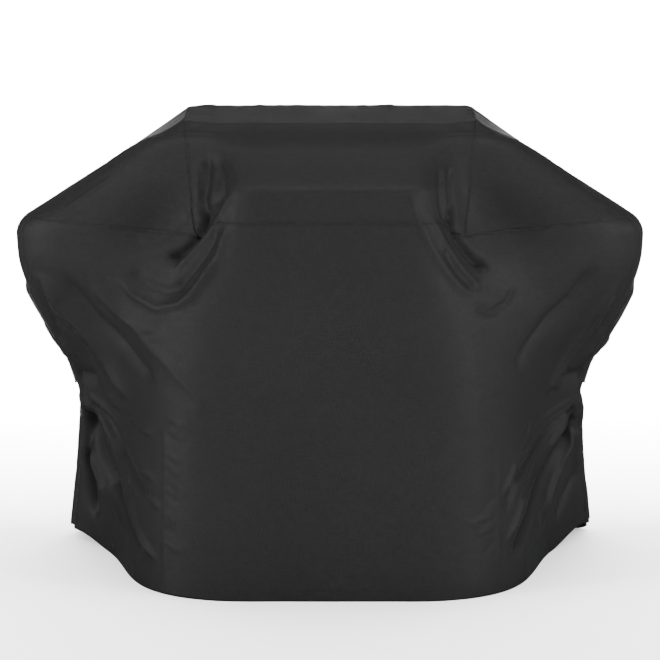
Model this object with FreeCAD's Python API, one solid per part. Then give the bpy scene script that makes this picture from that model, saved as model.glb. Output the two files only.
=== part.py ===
import FreeCAD, Part
import math
import os

# Fitted cloth cover for a gas grill with two side shelves, standing in the shape it takes over the grill.
# Millimetres. +Z is up, the front faces -Y, left is -X, and the origin is the middle of the footprint at the hem.
# The cloth is seven sewn panels with tape over the seams inside. At the waist each side has a cinch strap with a
# side-release buckle: the socket hangs on the short front strap, and the plug slides on the rear strap.

os.makedirs("parts", exist_ok=True)
Vector = FreeCAD.Vector

# Cloth and tape.
CLOTH = 3.0                 # one wall: coated cloth, its lining and the depth of its small wrinkles
TAPE = 1.0
TAPE_GAP = 0.3
TAPE_WIDTH = 22.0
TAPE_CLEAR = 0.5
HEM_HEIGHT = 28.0
BEYOND = 1000.0             # outside the cover in every direction
BELOW_HEM = 20.0

# Outline of the cloth at each height, for x >= 0:
# height, front y, front half width, corner x, corner y, side x, side front y, side back y, back half width, back y.
LEVELS = [
    (0, -338, 250, 392, -262, 648, 215, 322, 520, 335),
    (150, -335, 255, 392, -258, 626, 165, 312, 500, 332),
    (300, -332, 262, 390, -254, 608, 100, 302, 484, 330),
    (400, -331, 262, 388, -250, 598, 40, 294, 474, 327),
    (500, -331, 256, 390, -248, 630, 0, 288, 476, 324),
    (620, -332, 245, 384, -252, 682, -90, 282, 500, 318),
    (735, -334, 226, 347, -255, 713, -163, 271, 518, 311),
    (830, -336, 211, 302, -227, 714, -183, 257, 490, 302),
    (850, -336, 208, 298, -222, 689, -180, 252, 480, 300),
    (925, -328, 198, 286, -196, 570, -150, 232, 400, 286),
    (985, -228, 188, 292, -158, 476, -128, 210, 330, 258),
    (1045, -142, 196, 300, -124, 390, -104, 184, 270, 216),
    (1077, -98, 196, 286, -92, 349, -78, 158, 240, 180),
    (1085, -84, 190, 276, -80, 338, -68, 146, 230, 166),
]
RIDGE_Z = LEVELS[-1][0]
# Where the outline's points lie, as shares of the run that they divide.
CORNER_TURN = 0.12          # of a side, taken by each of its corners
CORNER_CUT = 0.06           # of the cart's corner, turned back at the end of the flat front
MIDDLE_FRONT = 0.55         # of the flat front
MIDDLE_SLANT = 0.44         # of the way out from the cart's corner to the side
SIDE_STEPS = 4
BACK_BEND = 0.30
BACK_CUT = 0.12
MIDDLE_BACK = 0.5

# Seams, as lines that cut straight through the cover.
RIDGE_SEAM = [(300, -BELOW_HEM), (272, 400), (262, 500), (244, 850), (150, RIDGE_Z), (150, RIDGE_Z + BELOW_HEM)]
SIDE_SEAM = [(222, -BELOW_HEM), (182, 150), (124, 300), (66, 400), (24, 500), (-62, 620), (-134, 725), (-160, 900)]
SEAM_CORNER_X = 300         # where hood, shoulder and front panels meet
SEAM_CORNER_Z = 812
FRONT_SEAM_Z = 850
FRONT_SEAM_X = 240
SHELF_TIP_X = 689
RIDGE_END_X = 334

# Cinch strap and buckle. Along y, then n outwards from the cloth, then w up the slope of the cloth.
STRAP_Z = 450.0
WEBBING = 1.6
WEBBING_WIDTH = 50.0
BEND_STEPS = 12
CLOTH_BULGE = 1.8           # how far the side stands out past the straight line between its corners
LIFT = 0.5                  # gap under webbing, and between its layers
LOOP_CLEAR = 0.5            # gap between webbing and the bar that it goes round
BUCKLE_HALF = 31.0
RAIL = 4.5
ROUNDING = 1.5
SOCKET_FRONT = 114.0
SOCKET_BAR = 4.5
SOCKET_SLOT_END = 124.0
SOCKET_MOUTH = 160.0
SOCKET_N = (1.0, 13.0)
CAVITY_N = (3.0, 11.0)
CAVITY_HALF = 27.0
CAVITY_END = 127.0
WINDOW_Y = (128.0, 143.0)
PLUG_REAR = 186.0
GUIDE_N = (4.4, 9.4)
PLUG_WALL_END = 167.0
CENTRE_BAR_Y = (172.0, 176.0)
CENTRE_BAR_N = (4.4, 6.9)
REAR_BAR_Y = 181.0
GUIDE_HALF = 4.5
GUIDE_TIP = 129.0
ARM_N = (3.6, 10.4)
ARM_PIVOT = (161.5, 22.5)
ARM_ROOT = 3.0
ARM_SEAT = 3.8
ARM_OUTER = 26.2            # half width over the two blades
ARM_INNER = 22.0
BARB_OUTER = 30.6           # half width over the two barbs
BARB_Y = (135.0, 142.0)
FRONT_SEWN = 74.0
FRONT_STRAP_BACK = 84.0     # the turned-back end of the front strap
FRONT_LOOP_START = 112.25
FRONT_LOOP_END = 102.25     # where the turned-back end has nearly come down
FRONT_LOOP_DOWN = 96.25
REAR_SEWN = (236.0, 262.0)
TAIL_END = 222.0
TAIL_FOLD = 14.0
TAIL_LOOP_TURN = (215, 20)  # degrees round the centre bar, from +y towards n


def outline(level):
    """Half outline at one height, from the front centre round to the back centre."""
    z, front, flat, corner_x, corner_y, side, side_front, side_back, back_flat, back = level
    turn = CORNER_TURN * (side_back - side_front)
    lead = side - turn - corner_x
    straight = side_back - side_front - 2 * turn
    half = [
        (0, front),
        (MIDDLE_FRONT * flat, front),
        (flat, front + CORNER_CUT * (corner_y - front)),
        (corner_x, corner_y),
        (corner_x + MIDDLE_SLANT * lead, (corner_y + side_front) / 2),
        (side - turn, side_front),
    ]
    half += [(side, side_front + turn + straight * step / SIDE_STEPS) for step in range(SIDE_STEPS + 1)]
    half += [
        (side - turn, side_back + BACK_BEND * (back - side_back)),
        (back_flat, back - BACK_CUT * (back - side_back)),
        (MIDDLE_BACK * back_flat, back),
        (0, back),
    ]
    return [Vector(x, y, z) for x, y in half]


def ring(level):
    """Whole outline at one height, anticlockwise from the front centre."""
    right = outline(level)
    left = [Vector(-p.x, p.y, p.z) for p in right[-2:0:-1]]
    return right + left


RINGS = [ring(level) for level in LEVELS]


def outward(k, i):
    """Unit normal of the cloth at point i of ring k."""
    here = RINGS[k]
    along = here[(i + 1) % len(here)] - here[i - 1]
    rise = RINGS[min(k + 1, len(RINGS) - 1)][i] - RINGS[max(k - 1, 0)][i]
    return along.cross(rise).normalize()


def closed_curve(points):
    curve = Part.BSplineCurve()
    curve.interpolate(points, PeriodicFlag=True)
    return Part.Wire(curve.toShape())


def body_inside(depth):
    """Solid of everything deeper than depth below the cloth's outer face, open past the hem if depth > 0."""
    wires = []
    for k in range(len(RINGS)):
        points = [p - outward(k, i) * depth for i, p in enumerate(RINGS[k])]
        if k == 0:
            points = [Vector(p.x, p.y, 0) for p in points]
            if depth:
                wires.append(closed_curve([p - Vector(0, 0, BELOW_HEM) for p in points]))
        if k == len(RINGS) - 1:
            points = [Vector(p.x, p.y, RIDGE_Z - depth) for p in points]
        wires.append(closed_curve(points))
    return Part.makeLoft(wires, True, True)


def prism_along_x(points):
    """Extrude a polygon of (y, z) points along x."""
    wire = Part.makePolygon([Vector(-BEYOND, y, z) for y, z in points + points[:1]])
    return Part.Face(wire).extrude(Vector(2 * BEYOND, 0, 0))


def prism_along_y(points):
    """Extrude a polygon of (x, z) points along y."""
    wire = Part.makePolygon([Vector(x, -BEYOND, z) for x, z in points + points[:1]])
    return Part.Face(wire).extrude(Vector(0, 2 * BEYOND, 0))


def strip(path, width):
    """Polygon of a line of points drawn with a pen of this width."""
    sides = [[], []]
    for i, point in enumerate(path):
        before = path[max(i - 1, 0)]
        after = path[min(i + 1, len(path) - 1)]
        first = unit(before, point) if i else unit(point, after)
        last = unit(point, after) if i < len(path) - 1 else first
        across = (-(first[1] + last[1]), first[0] + last[0])
        scale = width / 2 / (across[0] * -first[1] + across[1] * first[0])
        for side, sign in zip(sides, (1, -1)):
            side.append((point[0] + sign * across[0] * scale, point[1] + sign * across[1] * scale))
    return sides[0] + sides[1][::-1]


def unit(start, end):
    length = math.hypot(end[0] - start[0], end[1] - start[1])
    return (end[0] - start[0]) / length, (end[1] - start[1]) / length


def mirrored(shape):
    return shape.mirror(Vector(0, 0, 0), Vector(1, 0, 0))


def save(node, shape):
    solids = shape.Solids
    if not shape.isValid() or not solids:
        raise ValueError(node + " is not a valid solid")
    whole = solids[0] if len(solids) == 1 else Part.makeCompound(solids)
    whole.exportStep("parts/" + node + ".step")
    box = whole.optimalBoundingBox(False)
    print(f"{node:28s} solids {len(solids)} volume {whole.Volume / 1000:9.2f} cm3 "
          f"x {box.XMin:7.1f} {box.XMax:7.1f} y {box.YMin:7.1f} {box.YMax:7.1f} z {box.ZMin:6.1f} {box.ZMax:7.1f}")


def save_pair(node, right_shape):
    save("right_" + node, right_shape)
    save("left_" + node, mirrored(right_shape))


def front_seam_line():
    """Line of the seam round the front, in x and z: level in the middle, dipping to the corners, up to the tips."""
    half = [(FRONT_SEAM_X, FRONT_SEAM_Z), (SEAM_CORNER_X, SEAM_CORNER_Z), (SHELF_TIP_X, FRONT_SEAM_Z),
            (BEYOND, FRONT_SEAM_Z)]
    return [(-x, z) for x, z in half[::-1]] + half


def hood_seam_line(side):
    """Line of one hood side seam in x and z, run on past both of its ends."""
    lean = (RIDGE_END_X - SEAM_CORNER_X) / (RIDGE_Z - SEAM_CORNER_Z)
    low, high = SEAM_CORNER_Z - 2 * BELOW_HEM, RIDGE_Z + BELOW_HEM
    return [(side * (SEAM_CORNER_X + lean * (z - SEAM_CORNER_Z)), z) for z in (low, high)]


def right_half():
    """Everything to the right of the middle, and well clear of it."""
    clear = SEAM_CORNER_X / 2
    return Part.makeBox(BEYOND - clear, 2 * BEYOND, 3 * BEYOND, Vector(clear, -BEYOND, -BEYOND))


def slab(low, high):
    """Everything between two heights."""
    return Part.makeBox(2 * BEYOND, 2 * BEYOND, high - low, Vector(-BEYOND, -BEYOND, low))


def behind_seam():
    """Everything behind the ridge seam."""
    return prism_along_x(RIDGE_SEAM + [(BEYOND, RIDGE_SEAM[-1][1]), (BEYOND, RIDGE_SEAM[0][1])])


def behind_side_seam():
    """Everything on the right that is behind the side panel's front seam."""
    line = SIDE_SEAM + [(BEYOND, SIDE_SEAM[-1][1]), (BEYOND, SIDE_SEAM[0][1])]
    return prism_along_x(line).common(right_half())


def make_panels():
    """Seven panels of cloth, cut apart along the seams."""
    cloth = body_inside(0).cut(body_inside(CLOTH))
    behind = behind_seam()
    seam = front_seam_line()
    under = prism_along_y(seam + [(BEYOND, -BEYOND), (-BEYOND, -BEYOND)])
    hood_zone = prism_along_y(hood_seam_line(-1) + hood_seam_line(1)[::-1])
    side_zone = behind_side_seam()
    save("back_panel", cloth.common(behind))
    ahead = cloth.cut(behind)
    upper = ahead.cut(under)
    save("hood_panel", upper.common(hood_zone))
    save_pair("shoulder_panel", upper.cut(hood_zone).common(right_half()))
    lower = ahead.common(under)
    side_panel = lower.common(side_zone)
    save_pair("side_panel", side_panel)
    save("front_panel", lower.cut(side_zone).cut(mirrored(side_zone)))


def make_tapes():
    """Tape over each seam on the inside, and the turned-up hem."""
    depth = CLOTH + TAPE_GAP
    skin = body_inside(depth).cut(body_inside(depth + TAPE))
    hem = skin.common(slab(0, HEM_HEIGHT))
    save("back_hem", hem.common(behind_seam()))
    hem = hem.cut(behind_seam())
    save_pair("side_hem", hem.common(behind_side_seam()))
    save("front_hem", hem.cut(behind_side_seam()).cut(mirrored(behind_side_seam())))
    rest = skin.cut(slab(-2 * BELOW_HEM, HEM_HEIGHT + TAPE_CLEAR))

    wide = TAPE_WIDTH + 2 * TAPE_CLEAR
    save("ridge_seam_tape", rest.common(prism_along_x(strip(RIDGE_SEAM, TAPE_WIDTH))))
    rest = rest.cut(prism_along_x(strip(RIDGE_SEAM, wide))).cut(behind_seam())

    seam = front_seam_line()
    across = rest.common(prism_along_y(strip(seam, TAPE_WIDTH)))
    middle = Part.makeBox(2 * SEAM_CORNER_X, BEYOND, BEYOND, Vector(-SEAM_CORNER_X, -BEYOND, SEAM_CORNER_Z / 2))
    save("front_seam_tape", across.common(middle))
    save_pair("shoulder_seam_tape", across.cut(middle).common(right_half()))
    rest = rest.cut(prism_along_y(strip(seam, wide)))

    over = prism_along_y(seam + [(BEYOND, BEYOND), (BEYOND, 2 * BEYOND), (-BEYOND, 2 * BEYOND), (-BEYOND, BEYOND)])
    save_pair("hood_seam_tape", rest.common(over).common(prism_along_y(strip(hood_seam_line(1), TAPE_WIDTH))))
    side_strip = prism_along_x(strip(SIDE_SEAM, TAPE_WIDTH))
    save_pair("side_seam_tape", rest.cut(over).common(side_strip).common(right_half()))


def side_at(z):
    """Half width of the cloth's flat side at a height."""
    for low, high in zip(LEVELS, LEVELS[1:]):
        if low[0] <= z <= high[0]:
            share = (z - low[0]) / (high[0] - low[0])
            return low[5] + share * (high[5] - low[5])
    raise ValueError("height outside the cover")


def on_side(shape):
    """Put a shape built in (n, y, w) on the slope of the right side."""
    below, above = side_at(STRAP_Z - 1), side_at(STRAP_Z + 1)
    tilt = math.atan2(above - below, 2)
    placed = shape.copy()
    placed.rotate(Vector(0, 0, 0), Vector(0, 1, 0), math.degrees(tilt))
    placed.translate(Vector(side_at(STRAP_Z), 0, STRAP_Z) + Vector(math.cos(tilt), 0, -math.sin(tilt)) * CLOTH_BULGE)
    return placed


def block(n, y, w):
    """Box from three (low, high) pairs."""
    return Part.makeBox(n[1] - n[0], y[1] - y[0], w[1] - w[0], Vector(n[0], y[0], w[0]))


def rounded(shape, radius, direction):
    """Round the edges that run along one axis."""
    edges = [e for e in shape.Edges if abs(abs(e.tangentAt(e.FirstParameter).dot(direction)) - 1) < 1e-6]
    return shape.makeFillet(radius, edges)


def webbing(path):
    """Flat webbing that follows a path of (y, n) points."""
    outline_points = strip(path, WEBBING)
    wire = Part.makePolygon([Vector(n, y, -WEBBING_WIDTH / 2) for y, n in outline_points + outline_points[:1]])
    return Part.Face(wire).extrude(Vector(0, 0, WEBBING_WIDTH))


def bend(centre, radius, start, end):
    """Points round a bend in the (y, n) plane, in degrees from +y towards +n."""
    angles = [math.radians(start + (end - start) * i / BEND_STEPS) for i in range(BEND_STEPS + 1)]
    return [(centre[0] + radius * math.cos(a), centre[1] + radius * math.sin(a)) for a in angles]


def make_socket():
    """Hollow half of the buckle, with a window on each edge for the latches and a bar for its strap."""
    full = (-BUCKLE_HALF, BUCKLE_HALF)
    shell = rounded(block(SOCKET_N, (SOCKET_FRONT, SOCKET_MOUTH), full), 2 * ROUNDING, Vector(0, 1, 0))
    inner = (-CAVITY_HALF, CAVITY_HALF)
    shell = shell.cut(block(CAVITY_N, (CAVITY_END, SOCKET_MOUTH + 1), inner))
    shell = shell.cut(block(CAVITY_N, WINDOW_Y, (-BUCKLE_HALF - 1, BUCKLE_HALF + 1)))
    slot = (-BUCKLE_HALF + RAIL, BUCKLE_HALF - RAIL)
    bar_end = SOCKET_FRONT + SOCKET_BAR
    shell = shell.cut(block((0, SOCKET_N[1] + 1), (bar_end, SOCKET_SLOT_END), slot))
    for low, high in ((0, socket_bar_n() - SOCKET_BAR / 2), (socket_bar_n() + SOCKET_BAR / 2, SOCKET_N[1] + 1)):
        shell = shell.cut(block((low, high), (SOCKET_FRONT - 1, bar_end), slot))
    return shell


def socket_bar_n():
    """Height of the socket's webbing bar off the cloth."""
    return sum(SOCKET_N) / 2


def make_plug():
    """Solid half of the buckle: a guide tongue, and two bars that the rear strap threads round."""
    full = (-BUCKLE_HALF, BUCKLE_HALF)
    body = rounded(block(SOCKET_N, (SOCKET_MOUTH, PLUG_REAR), full), 2 * ROUNDING, Vector(0, 1, 0))
    slot = (-BUCKLE_HALF + RAIL, BUCKLE_HALF - RAIL)
    body = body.cut(block((0, SOCKET_N[1] + 1), (PLUG_WALL_END, CENTRE_BAR_Y[0]), slot))
    body = body.cut(block((0, SOCKET_N[1] + 1), (CENTRE_BAR_Y[1], REAR_BAR_Y), slot))
    for low, high in ((0, CENTRE_BAR_N[0]), (CENTRE_BAR_N[1], SOCKET_N[1] + 1)):
        body = body.cut(block((low, high), CENTRE_BAR_Y, slot))
    body = body.cut(block((0, CENTRE_BAR_N[0]), (REAR_BAR_Y, PLUG_REAR + 1), slot))
    guide = block(GUIDE_N, (GUIDE_TIP, SOCKET_MOUTH), (-GUIDE_HALF, GUIDE_HALF))
    body = body.fuse(rounded(guide, ROUNDING, Vector(1, 0, 0)))
    for sign in (1, -1):
        pivot = Vector(0, ARM_PIVOT[0], sign * ARM_PIVOT[1])
        seat = Part.makeCylinder(ARM_SEAT, SOCKET_N[1], pivot, Vector(1, 0, 0))
        body = body.cut(seat)
    return body.removeSplitter()


def make_arm():
    """Upper latch arm: a root that turns in the plug, a springy blade and a barb that stands in the window."""
    pivot_y, pivot_w = ARM_PIVOT
    tip = WINDOW_Y[0] + 1
    points = [
        (pivot_y, pivot_w - ARM_ROOT),
        (pivot_y, pivot_w + ARM_ROOT),
        (WINDOW_Y[1] + 2, ARM_OUTER),
        (BARB_Y[1], ARM_OUTER),
        (BARB_Y[1], BARB_OUTER),
        (BARB_Y[0], BARB_OUTER),
        (tip, ARM_OUTER),
        (tip, ARM_INNER),
        (BARB_Y[1] - 1, ARM_INNER),
    ]
    wire = Part.makePolygon([Vector(ARM_N[0], y, w) for y, w in points + points[:1]])
    blade = Part.Face(wire).extrude(Vector(ARM_N[1] - ARM_N[0], 0, 0))
    root = Part.makeCylinder(ARM_ROOT, ARM_N[1] - ARM_N[0], Vector(ARM_N[0], pivot_y, pivot_w), Vector(1, 0, 0))
    return blade.fuse(root).removeSplitter()


def make_front_strap():
    """Short strap sewn flat to the cloth, looped round the socket's bar and sewn back on itself."""
    low = LIFT + WEBBING / 2
    bar = (SOCKET_FRONT + SOCKET_BAR / 2, socket_bar_n())
    loop = SOCKET_BAR / math.sqrt(2) + LOOP_CLEAR + WEBBING / 2
    top = low + WEBBING + LIFT
    path = [(FRONT_SEWN, low), (FRONT_LOOP_START, low)] + bend(bar, loop, -90, 90)
    return webbing(path + [(FRONT_LOOP_END, top + WEBBING), (FRONT_LOOP_DOWN, top), (FRONT_STRAP_BACK, top)])


def make_rear_strap():
    """Strap sewn flat to the cloth behind the buckle, up to where it enters the plug."""
    low = LIFT + WEBBING / 2
    return webbing([(PLUG_REAR, low), (REAR_SEWN[1], low)])


def make_strap_tail():
    """The same strap from the plug's end: up round the centre bar, down, and out as a loose tail with a folded end."""
    low = LIFT + WEBBING / 2
    over = low + WEBBING + LIFT / 2
    bar = (sum(CENTRE_BAR_Y) / 2, sum(CENTRE_BAR_N) / 2)
    loop = math.hypot(bar[0] - CENTRE_BAR_Y[0], bar[1] - CENTRE_BAR_N[0]) + LOOP_CLEAR + WEBBING / 2
    path = [(PLUG_REAR, low), (CENTRE_BAR_Y[0], low)] + bend(bar, loop, *TAIL_LOOP_TURN)
    folded = over + WEBBING + LIFT / 2
    path += [(REAR_BAR_Y - WEBBING, over), (TAIL_END, over), (TAIL_END + WEBBING / 2, (over + folded) / 2)]
    return webbing(path + [(TAIL_END, folded), (TAIL_END - TAIL_FOLD, folded)])


def make_straps():
    arm = make_arm()
    lower_arm = arm.mirror(Vector(0, 0, 0), Vector(0, 0, 1))
    save_pair("front_strap", on_side(make_front_strap()))
    save_pair("rear_strap", on_side(make_rear_strap()))
    save_pair("strap_tail", on_side(make_strap_tail()))
    save_pair("buckle_socket", on_side(make_socket()))
    save_pair("buckle_plug", on_side(make_plug()))
    save_pair("upper_latch_arm", on_side(arm))
    save_pair("lower_latch_arm", on_side(lower_arm))


make_panels()
make_tapes()
make_straps()
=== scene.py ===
import math

import bmesh
import bpy
import numpy as np
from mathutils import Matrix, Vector, noise
from mathutils.bvhtree import BVHTree


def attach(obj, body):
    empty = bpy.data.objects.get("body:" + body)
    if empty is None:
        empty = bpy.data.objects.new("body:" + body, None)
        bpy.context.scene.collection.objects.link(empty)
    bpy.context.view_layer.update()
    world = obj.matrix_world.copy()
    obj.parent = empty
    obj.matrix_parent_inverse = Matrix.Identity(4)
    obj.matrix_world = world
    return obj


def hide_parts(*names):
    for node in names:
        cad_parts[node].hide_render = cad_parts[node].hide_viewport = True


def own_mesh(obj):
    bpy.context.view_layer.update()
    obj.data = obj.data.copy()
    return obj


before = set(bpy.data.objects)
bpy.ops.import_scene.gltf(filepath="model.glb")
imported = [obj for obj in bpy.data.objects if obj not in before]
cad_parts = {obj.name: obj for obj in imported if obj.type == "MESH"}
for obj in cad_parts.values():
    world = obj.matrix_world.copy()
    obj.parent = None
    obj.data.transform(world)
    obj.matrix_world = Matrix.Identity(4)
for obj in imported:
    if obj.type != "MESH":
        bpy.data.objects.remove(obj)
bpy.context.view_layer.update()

# The cloth's outline at each height, as in the CAD model, in millimetres, for x >= 0:
# height, front y, front half width, corner x, corner y, side x, side front y, side back y, back half width,
# back y.
LEVELS = [
    (0, -338, 250, 392, -262, 648, 215, 322, 520, 335),
    (150, -335, 255, 392, -258, 626, 165, 312, 500, 332),
    (300, -332, 262, 390, -254, 608, 100, 302, 484, 330),
    (400, -331, 262, 388, -250, 598, 40, 294, 474, 327),
    (500, -331, 256, 390, -248, 630, 0, 288, 476, 324),
    (620, -332, 245, 384, -252, 682, -90, 282, 500, 318),
    (735, -334, 226, 347, -255, 713, -163, 271, 518, 311),
    (830, -336, 211, 302, -227, 714, -183, 257, 490, 302),
    (850, -336, 208, 298, -222, 689, -180, 252, 480, 300),
    (925, -328, 198, 286, -196, 570, -150, 232, 400, 286),
    (985, -228, 188, 292, -158, 476, -128, 210, 330, 258),
    (1045, -142, 196, 300, -124, 390, -104, 184, 270, 216),
    (1077, -98, 196, 286, -92, 349, -78, 158, 240, 180),
    (1085, -84, 190, 276, -80, 338, -68, 146, 230, 166),
]
MM = 0.001
TOP_Z = 1.085
SHELF_Z = 0.830
HALF_PLACES = 14  # control points from the front centre (place 0) to the back centre (place 14)
# How softly the cloth turns at each of those heights: half the height that the turn takes.
TURNS = MM * np.array([20, 45, 45, 35, 35, 45, 35, 22, 16, 8, 22, 7, 6, 4])

# Seams, as in the CAD model: lines that cut straight through the cover.
RIDGE_SEAM = [(0.300, -0.02), (0.272, 0.4), (0.262, 0.5), (0.244, 0.85), (0.150, TOP_Z),
              (0.150, TOP_Z + 0.02)]
SIDE_SEAM = [(0.222, -0.02), (0.182, 0.15), (0.124, 0.3), (0.066, 0.4), (0.024, 0.5), (-0.062, 0.62),
             (-0.134, 0.725), (-0.160, 0.9)]
FRONT_SEAM = [(0.0, 0.850), (0.240, 0.850), (0.300, 0.812), (0.689, 0.850), (1.0, 0.850)]
HOOD_SEAM = [(0.300, 0.812), (0.334, TOP_Z)]
SIDE_SEAM_FROM = 0.45  # side seams lie further out than this

# The mesh of the whole cover.
COLUMNS = 660
LOWER_ROWS = 140
UPPER_ROWS = 72
TOP_STEPS = 14
TOP_RIDGE = (0.205, 0.041)  # half length and y of the line that the flat top closes on
TOP_GRID = 0.0082  # spacing of the points on that line, wider than the columns are there
FRONT_KEPT = 0.42  # cloth each side of the front centre that hangs straight down
BACK_KEPT = 0.50  # and each side of the back centre
HEIGHTS = np.array([level[0] for level in LEVELS]) * MM


# ---- the plain shape ----

def outline(level):
    """Control points of one height's outline, all the way round from the front centre."""
    front, flat, corner_x, corner_y, side, side_front, side_back, back_flat, back = MM * np.array(level[1:])
    turn = 0.12 * (side_back - side_front)
    lead = side - turn - corner_x
    straight = side_back - side_front - 2 * turn
    half = [(0, front), (0.55 * flat, front), (flat, front + 0.06 * (corner_y - front)), (corner_x, corner_y),
            (corner_x + 0.44 * lead, (corner_y + side_front) / 2), (side - turn, side_front)]
    half += [(side, side_front + turn + straight * step / 4) for step in range(5)]
    deep = back - side_back
    half += [(side - turn, side_back + 0.30 * deep), (back_flat, back - 0.12 * deep), (0.5 * back_flat, back),
             (0, back)]
    right = np.array(half)
    return np.vstack([right, right[-2:0:-1] * (-1, 1)])


class ClosedSpline:
    """Smooth closed curve through points, at places counted in points."""

    def __init__(self, points):
        count = len(points)
        self.points = points
        self.gaps = np.linalg.norm(np.roll(points, -1, 0) - points, axis=1)
        matrix = np.zeros((count, count))
        pull = np.zeros((count, 2))
        for i in range(count):
            before, after = self.gaps[i - 1], self.gaps[i]
            matrix[i, i - 1] += before
            matrix[i, i] += 2 * (before + after)
            matrix[i, (i + 1) % count] += after
            ahead, behind = points[(i + 1) % count] - points[i], points[i] - points[i - 1]
            pull[i] = 6 * (ahead / after - behind / before)
        self.bend = np.linalg.solve(matrix, pull)

    def at(self, places):
        start = np.floor(places).astype(int) % len(self.points)
        end = (start + 1) % len(self.points)
        b = (places - np.floor(places))[:, None]
        a = 1 - b
        gap = self.gaps[start][:, None]
        bent = (a**3 - a) * self.bend[start] + (b**3 - b) * self.bend[end]
        return a * self.points[start] + b * self.points[end] + gap * gap / 6 * bent


OUTLINES = [ClosedSpline(outline(level)) for level in LEVELS]


def level_shares(wanted):
    """How much of each level's outline goes into the outline at each wanted height."""
    shares = np.zeros((len(wanted), len(HEIGHTS)))
    turn = np.interp(wanted, HEIGHTS, TURNS)
    steps = np.linspace(-1, 1, 9)
    for step in steps:
        z = np.clip(wanted + step * turn, HEIGHTS[0], HEIGHTS[-1])
        for k in range(len(HEIGHTS)):
            only = np.zeros(len(HEIGHTS))
            only[k] = 1
            shares[:, k] += np.interp(z, HEIGHTS, only) / len(steps)
    return shares


def rings(heights, places):
    """The cloth's outline at these heights, at these places round it."""
    lines = np.array([curve.at(places) for curve in OUTLINES])
    return np.einsum("hk,kpc->hpc", level_shares(heights), lines)


def base_grid():
    """Rows of points from the hem to the edge of the flat top.

    Columns are evenly spaced round the shelves. Below them the cover is cut straight down, so the front and
    back keep that spacing, and the sides take up the spare cloth."""
    fine = np.linspace(0, HALF_PLACES, 100 * HALF_PLACES + 1)
    lower = np.linspace(0, SHELF_Z, LOWER_ROWS, endpoint=False)
    heights = np.concatenate([lower, np.linspace(SHELF_Z, TOP_Z, UPPER_ROWS + 1)])
    curves = rings(heights, fine)
    lengths = np.zeros(curves.shape[:2])
    lengths[:, 1:] = np.cumsum(np.linalg.norm(np.diff(curves, axis=1), axis=2), axis=1)
    shelf_length = lengths[LOWER_ROWS, -1]
    half = COLUMNS // 2
    along = np.linspace(0, shelf_length, half + 1)
    shelf_places = np.interp(along, lengths[LOWER_ROWS], fine)
    rows = []
    for k, z in enumerate(heights):
        places = shelf_places
        if z < SHELF_Z:
            total = lengths[k, -1]
            front, back = FRONT_KEPT, shelf_length - BACK_KEPT
            squeezed = front + (along - front) * (total - BACK_KEPT - front) / (back - front)
            from_back = total - (shelf_length - along)
            moved = np.where(along < front, along, np.where(along > back, from_back, squeezed))
            places = np.interp(moved, lengths[k], fine)
        x = np.interp(places, fine, curves[k, :, 0])
        y = np.interp(places, fine, curves[k, :, 1])
        rows.append(np.column_stack([x, y, np.full(half + 1, z)]))
    right = np.array(rows)
    return np.concatenate([right, right[:, -2:0:-1] * (-1, 1, 1)], axis=1)


def plain_cover():
    """The whole cover as one open mesh in its plain shape, with a flat top."""
    grid = base_grid()
    columns = grid.shape[1]
    mesh = bmesh.new()
    verts = [[mesh.verts.new(p) for p in row] for row in grid]
    edge = grid[-1]
    closing_x = np.clip(np.round(edge[:, 0] / TOP_GRID) * TOP_GRID, -TOP_RIDGE[0], TOP_RIDGE[0])
    middle = np.column_stack([closing_x, np.full(columns, TOP_RIDGE[1]), np.full(columns, TOP_Z)])
    for step in range(1, TOP_STEPS + 1):
        verts.append([mesh.verts.new(p) for p in edge + (middle - edge) * step / TOP_STEPS])
    for lower, upper in zip(verts, verts[1:]):
        for i in range(columns):
            j = (i + 1) % columns
            mesh.faces.new((lower[i], lower[j], upper[j], upper[i]))
    bmesh.ops.remove_doubles(mesh, verts=verts[-1], dist=1e-5)
    bmesh.ops.dissolve_degenerate(mesh, dist=1e-6, edges=mesh.edges)
    return mesh


# ---- seams of the pattern ----

def behind_ridge(p):
    return p[:, 1] - np.interp(p[:, 2], [q[1] for q in RIDGE_SEAM], [q[0] for q in RIDGE_SEAM])


def above_front(p):
    return p[:, 2] - np.interp(abs(p[:, 0]), [q[0] for q in FRONT_SEAM], [q[1] for q in FRONT_SEAM])


def inside_hood(p):
    (x0, z0), (x1, z1) = HOOD_SEAM
    return x0 + (x1 - x0) * (p[:, 2] - z0) / (z1 - z0) - abs(p[:, 0])


def behind_side(p):
    return p[:, 1] - np.interp(p[:, 2], [q[1] for q in SIDE_SEAM], [q[0] for q in SIDE_SEAM])


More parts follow.
